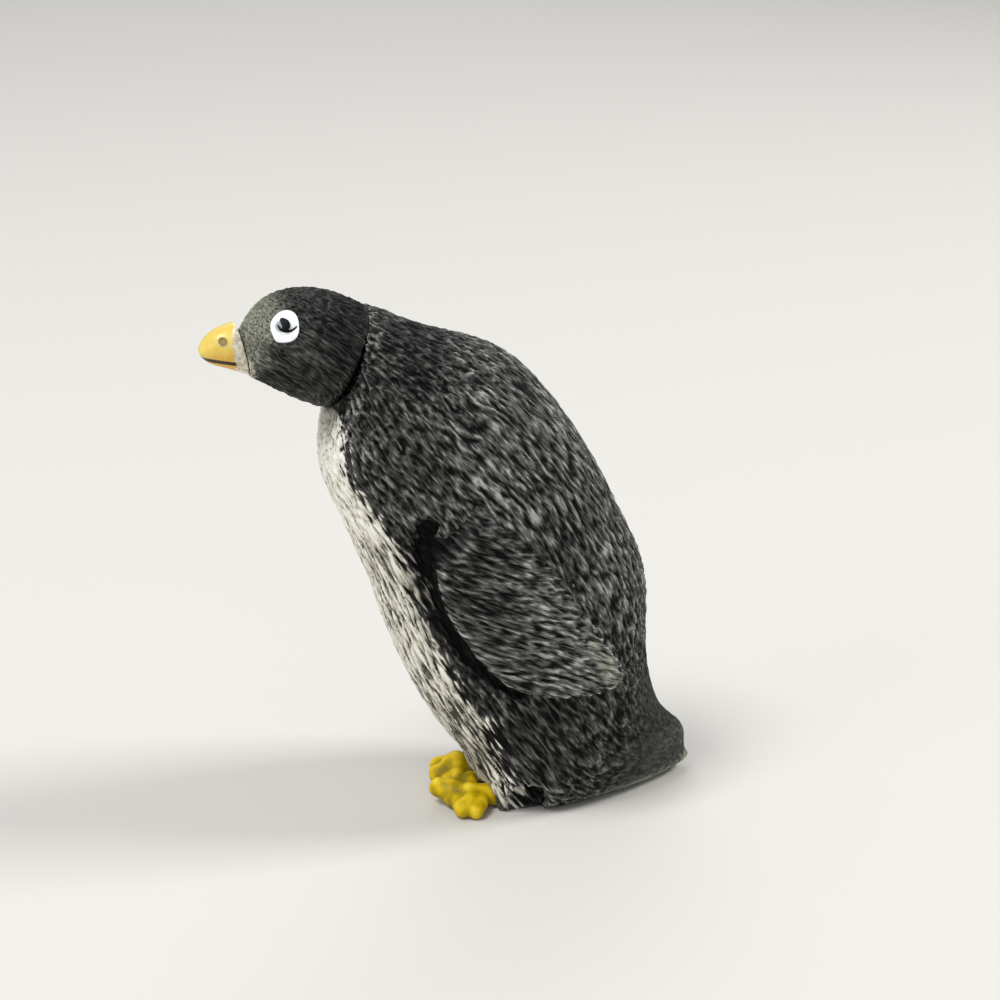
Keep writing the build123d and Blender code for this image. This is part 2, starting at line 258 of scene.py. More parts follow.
def put_value(mesh, name, values):
    """Stores a number or a vector for each vertex."""
    kind = "FLOAT_VECTOR" if values.ndim == 2 else "FLOAT"
    entry = mesh.attributes.new(name, kind, "POINT")
    entry.data.foreach_set("vector" if values.ndim == 2 else "value", values.ravel())


def settled(piece):
    """Turns a piece and its modifiers into a plain mesh; an empty one is an error."""
    graph = bpy.context.evaluated_depsgraph_get()
    graph.update()
    mesh = bpy.data.meshes.new_from_object(piece.evaluated_get(graph))
    if not mesh.polygons:
        raise RuntimeError(piece.name + " came out with no faces")
    old = piece.data
    piece.modifiers.clear()
    piece.data = mesh
    bpy.data.meshes.remove(old)
    return piece


def moulded(mesh, name, grain, rounds):
    """A piece with an even closed mesh, its edges softened as in a mould."""
    piece = bpy.data.objects.new(name, mesh)
    bpy.context.scene.collection.objects.link(piece)
    even = piece.modifiers.new("Even grid", "REMESH")
    even.mode = "VOXEL"
    even.voxel_size = grain
    soft = piece.modifiers.new("Soft edges", "SMOOTH")
    soft.factor = 0.5
    soft.iterations = rounds
    return settled(piece)


def moulded_copy(node, name, grain, rounds):
    """A moulded piece from a CAD node, in mm."""
    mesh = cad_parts[node].data.copy()
    mesh.materials.clear()
    work = bmesh.new()
    work.from_mesh(mesh)
    bmesh.ops.scale(work, vec=(1 / MM,) * 3, verts=work.verts)
    bmesh.ops.remove_doubles(work, verts=work.verts, dist=WELD)
    work.to_mesh(mesh)
    work.free()
    return moulded(mesh, name, grain, rounds)


def moulded_lumps(runs, name, grain, rounds):
    """A moulded piece from runs of seven balls, each run going from one to another."""
    work = bmesh.new()
    for start, end in runs:
        for share in np.linspace(0, 1, 7):
            x, y, z, radius = np.array(start) * (1 - share) + np.array(end) * share
            bmesh.ops.create_icosphere(work, subdivisions=3, radius=radius,
                                       matrix=Matrix.Translation((x, y, z)))
    mesh = bpy.data.meshes.new(name)
    work.to_mesh(mesh)
    work.free()
    return moulded(mesh, name, grain, rounds)


def neighbour_mean(mesh, values, rounds):
    """Values with each one replaced by its neighbours' mean, round after round."""
    edges = np.empty(len(mesh.edges) * 2, dtype=np.int64)
    mesh.edges.foreach_get("vertices", edges)
    one, two = edges.reshape(-1, 2).T
    size = len(mesh.vertices)
    count = np.bincount(one, minlength=size) + np.bincount(two, minlength=size)
    columns = values.reshape(size, -1).copy()
    for _ in range(rounds):
        for k in range(columns.shape[1]):
            column = columns[:, k]
            total = np.bincount(one, weights=column[two], minlength=size)
            total += np.bincount(two, weights=column[one], minlength=size)
            columns[:, k] = total / count
    return columns.reshape(values.shape)


def ridge_of(mesh, rounds, reach):
    """From -1 in a crease to 1 on a ridge, where reach mm of bending counts as all."""
    places = places_of(mesh)
    drop = places - neighbour_mean(mesh, places, rounds)
    return np.clip((drop * normals_of(mesh)).sum(axis=1) / reach, -1, 1)


def potential(slope_y, slope_z, step):
    """The height over a grid whose gradient comes nearest to the wanted slopes.

    It starts from sums along the grid and is then relaxed."""
    rise_y = (slope_y[1:] + slope_y[:-1]) / 2 * step
    rise_z = (slope_z[:, 1:] + slope_z[:, :-1]) / 2 * step
    height = np.cumsum(np.pad(rise_y, ((1, 0), (0, 0))), axis=0)
    height += np.cumsum(np.pad(rise_z, ((0, 0), (1, 0))), axis=1).mean(axis=0)
    count = np.full(height.shape, 4.0)
    for edge in (count[0], count[-1], count[:, 0], count[:, -1]):
        edge -= 1
    for _ in range(RELAXING_ROUNDS):
        total = np.zeros_like(height)
        total[:-1] += height[1:] - rise_y
        total[1:] += height[:-1] + rise_y
        total[:, :-1] += height[:, 1:] - rise_z
        total[:, 1:] += height[:, :-1] + rise_z
        height = total / count
    return height


def stroke_flow(places, strokes):
    """For each place the way along the strokes, across them and to the side, in mm,
    and how much grey the brush left."""
    step = 1.0
    back = np.arange(-26.0, 27.0, step)
    up = np.arange(-3.0, 54.0, step)
    softening = 4
    grid_y, grid_z = np.meshgrid(back, up, indexing="ij")
    flow_y = np.zeros_like(grid_y)
    flow_z = np.zeros_like(grid_y)
    brushed = np.zeros_like(grid_y)
    weight = np.zeros_like(grid_y)
    for y, z, degrees, brush in strokes:
        pull = 1 / ((grid_y - y) ** 2 + (grid_z - z) ** 2 + softening) ** 1.5
        flow_y += pull * math.cos(math.radians(degrees))
        flow_z -= pull * math.sin(math.radians(degrees))
        brushed += pull * brush
        weight += pull
    size = np.hypot(flow_y, flow_z)
    flow_y /= size
    flow_z /= size
    across_y = (places[:, 1] - back[0]) / step
    across_z = (places[:, 2] - up[0]) / step
    i = np.clip(across_y.astype(int), 0, len(back) - 2)
    j = np.clip(across_z.astype(int), 0, len(up) - 2)
    u, v = across_y - i, across_z - j
    columns = []
    for height in (potential(flow_y, flow_z, step), potential(-flow_z, flow_y, step),
                   brushed / weight):
        low = height[i, j] * (1 - u) + height[i + 1, j] * u
        high = height[i, j + 1] * (1 - u) + height[i + 1, j + 1] * u
        columns.append(low * (1 - v) + high * v)
    return np.stack(columns[:2] + [places[:, 0]], axis=1), columns[2]


def line_distance(places, line):
    """Distance in the side view from each place to a line of points."""
    spots = places[:, 1:3]
    best = np.full(len(spots), np.inf)
    for one, two in zip(line[:-1], line[1:]):
        start = np.array(one, dtype=float)
        run = np.array(two, dtype=float) - start
        share = np.clip(((spots - start) @ run) / (run @ run), 0, 1)
        gap = spots - start - share[:, None] * run
        best = np.minimum(best, np.hypot(gap[:, 0], gap[:, 1]))
    return best


def smooth_rise(values, low, high):
    """0 below low, 1 above high and a smooth step between."""
    share = np.clip((values - low) / (high - low), 0, 1)
    return share * share * (3 - 2 * share)


def smooth_fall(values, low, high):
    """1 below low, 0 above high and a smooth step between."""
    return 1 - smooth_rise(values, low, high)


def close_to(distance, width):
    """1 on a line, falling to nothing some two widths away from it."""
    return np.exp(-(distance / width) ** 2)


def stroke_sizes(settings):
    """The sizes of the strokes in mm, under the names of the stroke tree's inputs."""
    return {"Stroke length": settings.stroke_length / MM,
            "Stroke width": settings.stroke_width / MM,
            "Streak length": settings.streak_length / MM}


def stroke_height(tree, flow, belly, sizes):
    """Nodes for the moulded strokes: 0 in a pit and 1 on a crest between pits.

    Short strokes lie among the dark feathers and long ones on the belly. The same nodes
    shape the mesh and colour it, so paint and relief agree."""
    heights = []
    for length in (sizes["Stroke length"], sizes["Streak length"]):
        width = sizes["Stroke width"]
        scale = add_node(tree, "ShaderNodeCombineXYZ", {0: length, 1: width, 2: width})
        spot = add_node(tree, "ShaderNodeVectorMath", {0: flow, 1: scale.outputs[0]},
                        operation="DIVIDE")
        # a slow sway over two strokes or so keeps their rows from looking ruled
        sway = add_node(tree, "ShaderNodeTexNoise",
                        {"Vector": spot.outputs[0], "Scale": 0.55, "Detail": 0.0})
        pushed = add_node(tree, "ShaderNodeVectorMath",
                          {0: sway.outputs["Color"], 1: (0.3, 1.3, 1.3), 2: spot.outputs[0]},
                          operation="MULTIPLY_ADD")
        strokes = add_node(tree, "ShaderNodeTexNoise",
                           {"Vector": pushed.outputs[0], "Scale": 1.0, "Detail": 1.0,
                            "Roughness": 0.45})
        # the noise seldom leaves this range, so pits and crests use the whole scale
        crest = add_node(tree, "ShaderNodeMapRange", {"Value": strokes.outputs["Fac"],
                                                      "From Min": 0.29, "From Max": 0.71})
        heights.append(crest.outputs[0])
    share = add_node(tree, "ShaderNodeMapRange",
                     {"Value": belly, "From Min": -0.6, "From Max": 0.6})
    mixed = add_node(tree, "ShaderNodeMix",
                     {0: share.outputs[0], 2: heights[0], 3: heights[1]}, data_type="FLOAT")
    return mixed.outputs[0]


def stroke_tree(name):
    """Geometry Nodes that press the feather strokes into a moulding, and their inputs."""
    tree = bpy.data.node_groups.new(name, "GeometryNodeTree")
    sockets = {}
    for title, kind in (
        ("Geometry", "NodeSocketGeometry"), ("Stroke length", "NodeSocketFloat"),
        ("Stroke width", "NodeSocketFloat"), ("Streak length", "NodeSocketFloat"),
        ("Depth", "NodeSocketFloat"), ("Seed", "NodeSocketInt"),
        ("Paint", "NodeSocketMaterial"),
    ):
        sockets[title] = tree.interface.new_socket(title, in_out="INPUT", socket_type=kind)
    tree.interface.new_socket("Geometry", in_out="OUTPUT", socket_type="NodeSocketGeometry")
    given = add_node(tree, "NodeGroupInput").outputs
    flow = add_node(tree, "GeometryNodeInputNamedAttribute", {0: "flow"},
                    data_type="FLOAT_VECTOR").outputs[0]
    belly, relief = (
        add_node(tree, "GeometryNodeInputNamedAttribute", {0: mark}, data_type="FLOAT").outputs[0]
        for mark in ("belly", "relief"))
    height = stroke_height(tree, flow, belly, given)
    # three quarters up a stroke is the level of the plain moulding
    below = add_node(tree, "ShaderNodeMath", {0: height, 1: 0.75}, operation="SUBTRACT")
    depth = add_node(tree, "ShaderNodeMath", {0: below.outputs[0], 1: given["Depth"]},
                     operation="MULTIPLY")
    # slow swells of some 4.5 mm, as of a hand-cut master
    lumps = add_node(tree, "ShaderNodeTexNoise",
                     {"Vector": flow, "W": given["Seed"], "Scale": 0.22, "Detail": 1.0},
                     noise_dimensions="4D")
    swell = add_node(tree, "ShaderNodeMath", {0: lumps.outputs[0], 1: 0.5},
                     operation="SUBTRACT")
    push = add_node(tree, "ShaderNodeMath",
                    {0: swell.outputs[0], 1: given["Depth"], 2: depth.outputs[0]},
                    operation="MULTIPLY_ADD")
    masked = add_node(tree, "ShaderNodeMath", {0: push.outputs[0], 1: relief},
                      operation="MULTIPLY")
    normal = add_node(tree, "GeometryNodeInputNormal").outputs[0]
    offset = add_node(tree, "ShaderNodeVectorMath", {0: normal, "Scale": masked.outputs[0]},
                      operation="SCALE")
    moved = add_node(tree, "GeometryNodeSetPosition",
                     {"Geometry": given["Geometry"], "Offset": offset.outputs[0]})
    real = add_node(tree, "GeometryNodeRealizeInstances", {0: moved.outputs[0]})
    painted = add_node(tree, "GeometryNodeSetMaterial",
                       {"Geometry": real.outputs[0], "Material": given["Paint"]})
    add_node(tree, "NodeGroupOutput", {0: painted.outputs[0]})
    return tree, sockets


def press_strokes(piece, seed):
    """Runs the stroke tree on a piece in mm and keeps the result as its mesh."""
    settings = bpy.context.scene.penguin
    tree, sockets = stroke_tree(piece.name + "_strokes")
    pressed = piece.modifiers.new("Feather strokes", "NODES")
    pressed.node_group = tree
    values = {**stroke_sizes(settings), "Depth": settings.stroke_depth / MM, "Seed": seed,
              "Paint": paint_named("plumage")}
    for title, value in values.items():
        pressed[sockets[title].identifier] = value
    settled(piece)
    bpy.data.node_groups.remove(tree)


def finish_piece(piece, nodes, paint=None):
    """Brings a piece from mm to its place, with its paint and body, and hides its CAD nodes."""
    mesh = piece.data
    put_places(mesh, places_of(mesh) * MM)
    if paint is not None:
        mesh.materials.clear()
        mesh.materials.append(paint)
    mesh.polygons.foreach_set("use_smooth", np.ones(len(mesh.polygons), dtype=bool))
    mesh.update()
    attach(piece, "root")
    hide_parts(*nodes)


def surface_tree(node):
    """A search tree over a CAD node's surface, in mm."""
    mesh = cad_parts[node].data
    corners = [Vector(place) for place in places_of(mesh) / MM]
    return BVHTree.FromPolygons(corners, [tuple(face.vertices) for face in mesh.polygons])


def new_paint(name, roughness, specular=0.4, coat=0.0):
    """A paint with an acrylic's IOR, its surface values set on the shader's own sockets."""
    paint = bpy.data.materials.new(name)
    paint.use_nodes = True
    shader = paint.node_tree.nodes["Principled BSDF"]
    shader.inputs["Roughness"].default_value = roughness
    shader.inputs["IOR"].default_value = 1.49
    shader.inputs["Specular IOR Level"].default_value = specular
    shader.inputs["Coat Weight"].default_value = coat
    shader.inputs["Coat Roughness"].default_value = 0.12
    return paint, paint.node_tree, shader


def painted_over(tree, colour, coats):
    """The colour once coats, each a share of cover and a colour, are laid over it."""
    for share, tone in coats:
        colour = add_node(tree, "ShaderNodeMix", {0: share, 6: colour, 7: tone},
                          data_type="RGBA").outputs[2]
    return colour


def plumage_paint():
    """Matte acrylic over moulded PVC: black washed into the strokes, grey dry-brushed
    over their crests, and an off-white belly with the dark showing between the streaks."""
    settings = bpy.context.scene.penguin
    # thin acrylic dries flat, so the plumage shows its greys and hardly any shine
    paint, tree, shader = new_paint("matte acrylic dry-brushed on moulded PVC", 0.6, 0.06)
    flow = add_node(tree, "ShaderNodeAttribute", attribute_name="flow").outputs["Vector"]
    mark = {name: add_node(tree, "ShaderNodeAttribute", attribute_name=name).outputs["Fac"]
            for name in ("brush", "belly", "groove", "ridge", "relief", "olive", "cream")}
    height = stroke_height(tree, flow, mark["belly"], stroke_sizes(settings))
    # the brush left more grey in some places than in others, in patches of some 5 mm
    patch = add_node(tree, "ShaderNodeTexNoise", {"Vector": flow, "Scale": 1 / 5.0,
                                                  "Detail": 3.0, "Roughness": 0.6})
    # specks of the dried paint, about 0.4 mm apart
    grain = add_node(tree, "ShaderNodeTexNoise", {"Vector": flow, "Scale": 2.6,
                                                  "Detail": 2.0, "Roughness": 0.6})
    # marks of the brush's hairs, 0.8 mm long and 0.12 mm wide
    hair_run = add_node(tree, "ShaderNodeVectorMath", {0: flow, 1: (0.8, 0.12, 0.12)},
                        operation="DIVIDE")
    hairs = add_node(tree, "ShaderNodeTexNoise",
                     {"Vector": hair_run.outputs[0], "Scale": 1.0, "Detail": 1.0})
    load = add_node(tree, "ShaderNodeMath",
                    {0: patch.outputs["Fac"], 1: 0.9, 2: mark["brush"]},
                    operation="MULTIPLY_ADD")
    # ridges of the moulding take more grey, as a dry brush leaves it, and this also paints
    # highlights along the edges
    edges = add_node(tree, "ShaderNodeMath", {0: mark["ridge"], 1: 0.7, 2: load.outputs[0]},
                     operation="MULTIPLY_ADD")
    rough = add_node(tree, "ShaderNodeMath", {0: grain.outputs["Fac"], 1: 0.5, 2: -0.25},
                     operation="MULTIPLY_ADD")
    strand = add_node(tree, "ShaderNodeMath", {0: hairs.outputs["Fac"], 1: 1.5, 2: -0.78},
                      operation="MULTIPLY_ADD")
    loose = add_node(tree, "ShaderNodeMath", {0: rough.outputs[0], 1: strand.outputs[0]},
                     operation="ADD")
    # strokes and specks are faint where the moulding is smooth, as on the tail
    calm = add_node(tree, "ShaderNodeMath", {0: mark["relief"], 1: 0.6},
                    operation="MULTIPLY", use_clamp=True)
    fine = add_node(tree, "ShaderNodeMath", {0: loose.outputs[0], 1: calm.outputs[0]},
                    operation="MULTIPLY")
    faint = add_node(tree, "ShaderNodeMix", {0: mark["relief"], 2: 0.46, 3: height},
                     data_type="FLOAT")
    fill = add_node(tree, "ShaderNodeMath", {0: faint.outputs[0], 1: fine.outputs[0]},
                    operation="ADD", use_clamp=True)
    washed = add_node(tree, "ShaderNodeValToRGB", {0: fill.outputs[0]}, stops=(
        (0.0, settings.pit_black), (0.3, "#070707"), (0.5, "#131312"), (0.75, "#262625"),
        (1.0, "#3b3b38")))
    brushed = add_node(tree, "ShaderNodeValToRGB", {0: fill.outputs[0]}, stops=(
        (0.0, "#0c0c0c"), (0.22, "#282827"), (0.45, settings.crest_grey), (0.75, "#747470"),
        (1.0, settings.crest_light)))
    # a full brush covers the crests first and reaches into the pits where it is fullest
    hit = add_node(tree, "ShaderNodeMapRange", {"Value": edges.outputs[0],
                                                "From Min": 0.4, "From Max": 1.45})
    dark = painted_over(tree, washed.outputs[0], ((hit.outputs[0], brushed.outputs[0]),))
    # the belly's white is thin, and greyer where the brush value is low, which darkens it low on
    # the belly
    white_shift = add_node(tree, "ShaderNodeMath", {0: mark["brush"], 1: 0.9, 2: -0.42},
                    operation="MULTIPLY_ADD")
    covered = add_node(tree, "ShaderNodeMath", {0: height, 1: white_shift.outputs[0]},
                       operation="ADD")
    white_level = add_node(tree, "ShaderNodeMath", {0: covered.outputs[0],
                                                    1: fine.outputs[0]},
                           operation="ADD", use_clamp=True)
    white = add_node(tree, "ShaderNodeValToRGB", {0: white_level.outputs[0]}, stops=(
        (0.0, "#46443e"), (0.15, "#8b877c"), (0.34, "#bdb9ac"), (0.6, settings.belly_white),
        (1.0, "#f4f2e9")))
    # it runs out in brush strokes, so its edge is torn along the feathers
    torn = add_node(tree, "ShaderNodeMath", {0: height, 1: 2.4, 2: mark["belly"]},
                    operation="MULTIPLY_ADD")
    edge = add_node(tree, "ShaderNodeMapRange", {"Value": torn.outputs[0], "From Min": 0.7,
                                                 "From Max": 1.6},
                    interpolation_type="SMOOTHSTEP")
    # olive grey is drawn over the brow, the tail's rim and the flippers' tips
    streak = add_node(tree, "ShaderNodeMath", {0: fill.outputs[0], 1: 1.5, 2: -0.05},
                      operation="MULTIPLY_ADD")
    olive = add_node(tree, "ShaderNodeMath", {0: mark["olive"], 1: streak.outputs[0]},
                     operation="MULTIPLY", use_clamp=True)
    # cream is dabbed on round the beak
    dabs = add_node(tree, "ShaderNodeMath",
                    {0: grain.outputs["Fac"], 1: 2.0, 2: mark["cream"]},
                    operation="MULTIPLY_ADD")
    cream = add_node(tree, "ShaderNodeMapRange", {"Value": dabs.outputs[0],
                                                  "From Min": 0.8, "From Max": 1.3})
    cream_tone = add_node(tree, "ShaderNodeValToRGB", {0: height}, stops=(
        (0.1, "#75705f"), (0.6, "#cfc9b6"), (1.0, "#dedaca")))
    # the last coat is painted shade, near black, in the grooves of the neck, the cheek and ahead
    # of the flippers
    colour = painted_over(tree, dark, (
        (edge.outputs[0], white.outputs[0]), (olive.outputs[0], settings.brow_olive),
        (cream.outputs[0], cream_tone.outputs[0]), (mark["groove"], linear("#060606"))))
    tree.links.new(colour, shader.inputs["Base Color"])
    bump = add_node(tree, "ShaderNodeBump", {"Height": height, "Strength": 1.0,
                                             "Distance": 0.16 * MM})
    tree.links.new(bump.outputs[0], shader.inputs["Normal"])
    return paint


def put_plumage_values(piece, strokes, fineness=1.0, sideways=1.0, more_brush=0.0,
                       ridge_share=1.0, **marks):
    """Stores what the strokes and the paint read on a dark piece.

    A mark that isn't given is plain: no white, groove shade, olive or cream, and full relief."""
    mesh = piece.data
    places = places_of(mesh)
    flow, brush = stroke_flow(places, strokes)
    put_value(mesh, "flow", flow * np.array((1, 1, sideways)) * fineness)
    values = {"brush": brush + more_brush, "belly": -3.0, "groove": 0.0, "olive": 0.0,
              "cream": -9.0, "relief": 1.0,
              "ridge": ridge_of(mesh, rounds=12, reach=0.12) * ridge_share, **marks}
    for name, value in values.items():
        put_value(mesh, name, np.broadcast_to(value, len(places)))


def neck_line(places):
    """How far ahead of the neck's plane each place lies, and its share of the upper side."""
    away = places - np.array(NECK_PLACE)
    up = np.array((0, NECK_AHEAD.z, -NECK_AHEAD.y))
    return away @ np.array(NECK_AHEAD), smooth_rise(away @ up, -2.0, 4.5)


def neck_groove(places):
    """Depth in mm of the groove round the neck, and the painted shade in it, both less on top.

    The plug and its bore, within 3 mm of the neck's middle, keep their form."""
    ahead, upper = neck_line(places)
    plug = np.hypot(places[:, 0], places[:, 1] - NECK_PLACE.y) + np.abs(ahead) * 9
    full = bpy.context.scene.penguin.neck_groove_depth / MM
    depth = full * (1 - upper) * close_to(ahead, NECK_GROOVE_WIDTH) * smooth_rise(plug, 3, 4)
    # painted shade in the groove, darkest low on the neck and fainter on top
    return depth, (0.8 - 0.7 * upper) * close_to(ahead, NECK_SHADE_WIDTH)


def beak_line(places):
    """How far ahead of the beak's root and how far above its axis each place lies, in mm."""
    away = places - np.array(BEAK_PLACE)
    return away @ np.array(BEAK_AHEAD), away @ np.array(BEAK_UP)


class PenguinSizes(bpy.types.PropertyGroup):
    """Sizes and colours of the figurine's moulded and painted detail."""
    stroke_length: bpy.props.FloatProperty(
        name="Stroke length", description="Length of a feather stroke",
        default=1.5 * MM, precision=5, subtype="DISTANCE", unit="LENGTH")
    stroke_width: bpy.props.FloatProperty(
        name="Stroke width", description="Width of a feather stroke",
        default=0.37 * MM, precision=5, subtype="DISTANCE", unit="LENGTH")
    streak_length: bpy.props.FloatProperty(
        name="Streak length", description="Length of a streak on the belly",
        default=4.2 * MM, precision=5, subtype="DISTANCE", unit="LENGTH")
    stroke_depth: bpy.props.FloatProperty(
        name="Stroke depth", description="Depth of the feather strokes",
        default=0.26 * MM, precision=5, subtype="DISTANCE", unit="LENGTH")
    groove_depth: bpy.props.FloatProperty(
        name="Groove depth", description="Depth of the groove ahead of a flipper",
        default=0.9 * MM, precision=5, subtype="DISTANCE", unit="LENGTH")
    neck_groove_depth: bpy.props.FloatProperty(
        name="Neck groove depth", description="Depth of the groove below the neck",
        default=0.25 * MM, precision=5, subtype="DISTANCE", unit="LENGTH")
    pit_black: bpy.props.FloatVectorProperty(
        name="Pit black", description="Black wash in the strokes", subtype="COLOR", size=4,
        default=linear("#030303"))
    crest_grey: bpy.props.FloatVectorProperty(
        name="Crest grey", description="Grey over the crests", subtype="COLOR", size=4,
        default=linear("#4d4d4a"))
    crest_light: bpy.props.FloatVectorProperty(
        name="Crest light", description="Lightest dry-brushed grey", subtype="COLOR", size=4,
        default=linear("#b0b0aa"))
    belly_white: bpy.props.FloatVectorProperty(
        name="Belly white", description="Off-white of the belly", subtype="COLOR", size=4,
        default=linear("#e2dfd2"))
    foot_yellow: bpy.props.FloatVectorProperty(
        name="Foot yellow", description="Yellow of the feet", subtype="COLOR", size=4,
        default=linear("#d3b105"))
    brow_olive: bpy.props.FloatVectorProperty(
        name="Brow olive", description="Olive grey of the brow, the tail's rim and the tips",
        subtype="COLOR", size=4, default=linear("#9d9e8e"))
    beak_yellow: bpy.props.FloatVectorProperty(
        name="Beak yellow", description="Yellow of the beak", subtype="COLOR", size=4,
        default=linear("#d9b142"))
    eye_white: bpy.props.FloatVectorProperty(
        name="Eye white", description="White enamel of the eyes", subtype="COLOR", size=4,
        default=linear("#f2f4f5"))


def leg_dent(places):
    """Depth in mm of the dent between the feet, low on the belly."""
    dent = DENT_DEPTH * close_to(places[:, 0], DENT_WIDTH) * smooth_fall(places[:, 1], 0, 3)
    return dent * smooth_rise(places[:, 2], 0.1, 0.8) * smooth_fall(places[:, 2], 2, 4.5)


def belly_cover(places):
    """How far inside the belly's edge each place lies, below zero in the dark."""
    heights, half_widths, backs = np.array(BELLY_EDGE).T
    side = np.interp(places[:, 2], heights, half_widths) - np.abs(places[:, 0])
    front = np.interp(places[:, 2], heights, backs) + BELLY_SHIFT - places[:, 1]
    return np.clip(np.minimum(side, front) * BELLY_SHARPNESS, -BELLY_LIMIT, BELLY_LIMIT)


def tail_rim(places):
    """Cover of the paint brushed along the tail's lower edge, which is taken to lie at the
    lowest place in each half millimetre of the trunk's length."""
    slots = np.clip((places[:, 1] * 2).astype(int), 0, 50)
    lowest = np.full(slots.max() + 1, np.inf)
    np.minimum.at(lowest, slots, places[:, 2])
    above = places[:, 2] - lowest[slots] - TAIL_RIM_HEIGHT
    return (TAIL_RIM_COVER * close_to(above, TAIL_RIM_WIDTH)
            * smooth_rise(places[:, 1], *TAIL_RANGE))


def trunk_relief(places):
    """How strongly the strokes are pressed into the trunk: not at all on its underside and
    round the legs, and most in the fringe above the feet."""
    rests = smooth_rise(places[:, 2], 0.15, 0.6)
    legs = np.hypot(np.abs(places[:, 0]) - LEG_SPOT[0], places[:, 1] - LEG_SPOT[1])
    legs += places[:, 2] * 0.3
    fringe = smooth_fall(places[:, 2], 2, 7) * smooth_fall(places[:, 1], 3, 7)
    return rests * smooth_rise(legs, 2.4, 3.6) * (1 + 1.2 * fringe)


class PENGUIN_OT_body(bpy.types.Operator):
    """Makes the trunk with its strokes, flipper grooves and white belly"""
    bl_idname = "penguin.body"
    bl_label = "Body"

    def execute(self, context):
        piece = moulded_copy("body", "painted_body", grain=0.23, rounds=2)
        mesh = piece.data
        places = places_of(mesh)
        normals = normals_of(mesh)
        furrow = line_distance(places, np.array(FLIPPER_FRONT) + FURROW_SHIFT)
        flank = smooth_rise(np.abs(normals[:, 0]), 0.2, 0.6)
        neck_depth, neck_shade = neck_groove(places)
        furrow_depth = context.scene.penguin.groove_depth / MM
        push = (furrow_depth * close_to(furrow, FURROW_WIDTH) * flank + neck_depth
                + leg_dent(places))
        put_places(mesh, places - normals * push[:, None])
        # painted shade: the groove ahead of a flipper is darkened, most on the flank
        furrow_shade = np.minimum(close_to(furrow, FURROW_SHADE_WIDTH) * flank, 0.8)
        tail = smooth_rise(places[:, 1] - 0.4 * places[:, 2], *TAIL_RANGE)
        rim = tail_rim(places)
        put_plumage_values(piece, BODY_STROKES, belly=belly_cover(places),
                           groove=np.maximum(furrow_shade, neck_shade), olive=rim,
                           relief=trunk_relief(places) * (1 - 0.7 * tail * (1 - rim)))
        press_strokes(piece, seed=3)
        finish_piece(piece, ["body"])
        return {"FINISHED"}


class PENGUIN_OT_head(bpy.types.Operator):
    """Makes the head with finer strokes, its olive brow and cream face"""
    bl_idname = "penguin.head"
    bl_label = "Head"

    def execute(self, context):
        piece = moulded_copy("head", "painted_head", grain=0.12, rounds=2)
        mesh = piece.data
        places = places_of(mesh)
        neck_depth, neck_shade = neck_groove(places)
        cheek = neck_line(places)[0] - CHEEK_AHEAD
        push = neck_depth + 0.06 * close_to(cheek, 0.3)
        put_places(mesh, places - normals_of(mesh) * push[:, None])
        face, level = beak_line(places)
        brow = smooth_rise(face, -5.2, -2.0) * smooth_rise(level, 0.2, 1.8)
        lores = smooth_rise(face, -2.4, -0.6) * smooth_rise(level, -1.8, -0.4)
        # painted shade in the neck's groove and, faintly, in the fold of the cheek
        put_plumage_values(piece, BODY_STROKES, fineness=1.5, relief=0.6,
                           groove=np.maximum(neck_shade, 0.15 * close_to(cheek, 0.25)),
                           olive=np.maximum(brow, lores * 0.7),
                           cream=0.2 + face * 1.1 - np.maximum(level + 0.6, 0) * 1.2)
        press_strokes(piece, seed=5)
        finish_piece(piece, ["head"])
        return {"FINISHED"}


def trunk_reach(places, side):
    """How far out on one side the trunk's surface lies at each place, and nan beside it."""
    trunk = surface_tree("body")
    reach = np.full(len(places), np.nan)
    for k, (_, y, z) in enumerate(places):
        spot = trunk.ray_cast(Vector((side * CLEAR_OF_TRUNK, y, z)), Vector((-side, 0, 0)))[0]
        if spot is not None:
            reach[k] = spot.x * side
    return reach


def blade_line(places):
    """The share of a flipper's length at each place, and how far in mm it lies ahead of
    the rear edge and below the shoulder."""
    back = places[:, 1] - FLIPPER_ROOT[0]
    down = FLIPPER_ROOT[1] - places[:, 2]
    along = (back * math.cos(FLIPPER_LINE) + down * math.sin(FLIPPER_LINE)) / FLIPPER_LENGTH
    across = (down * math.cos(FLIPPER_LINE) - back * math.sin(FLIPPER_LINE)) / FLIPPER_WIDTH
    rear = (across - np.interp(along, *np.array(FLIPPER_REAR).T)) * FLIPPER_WIDTH
    root = (along - 0.12 * np.clip(across, 0, 1)) * FLIPPER_LENGTH
    return along, rear, root


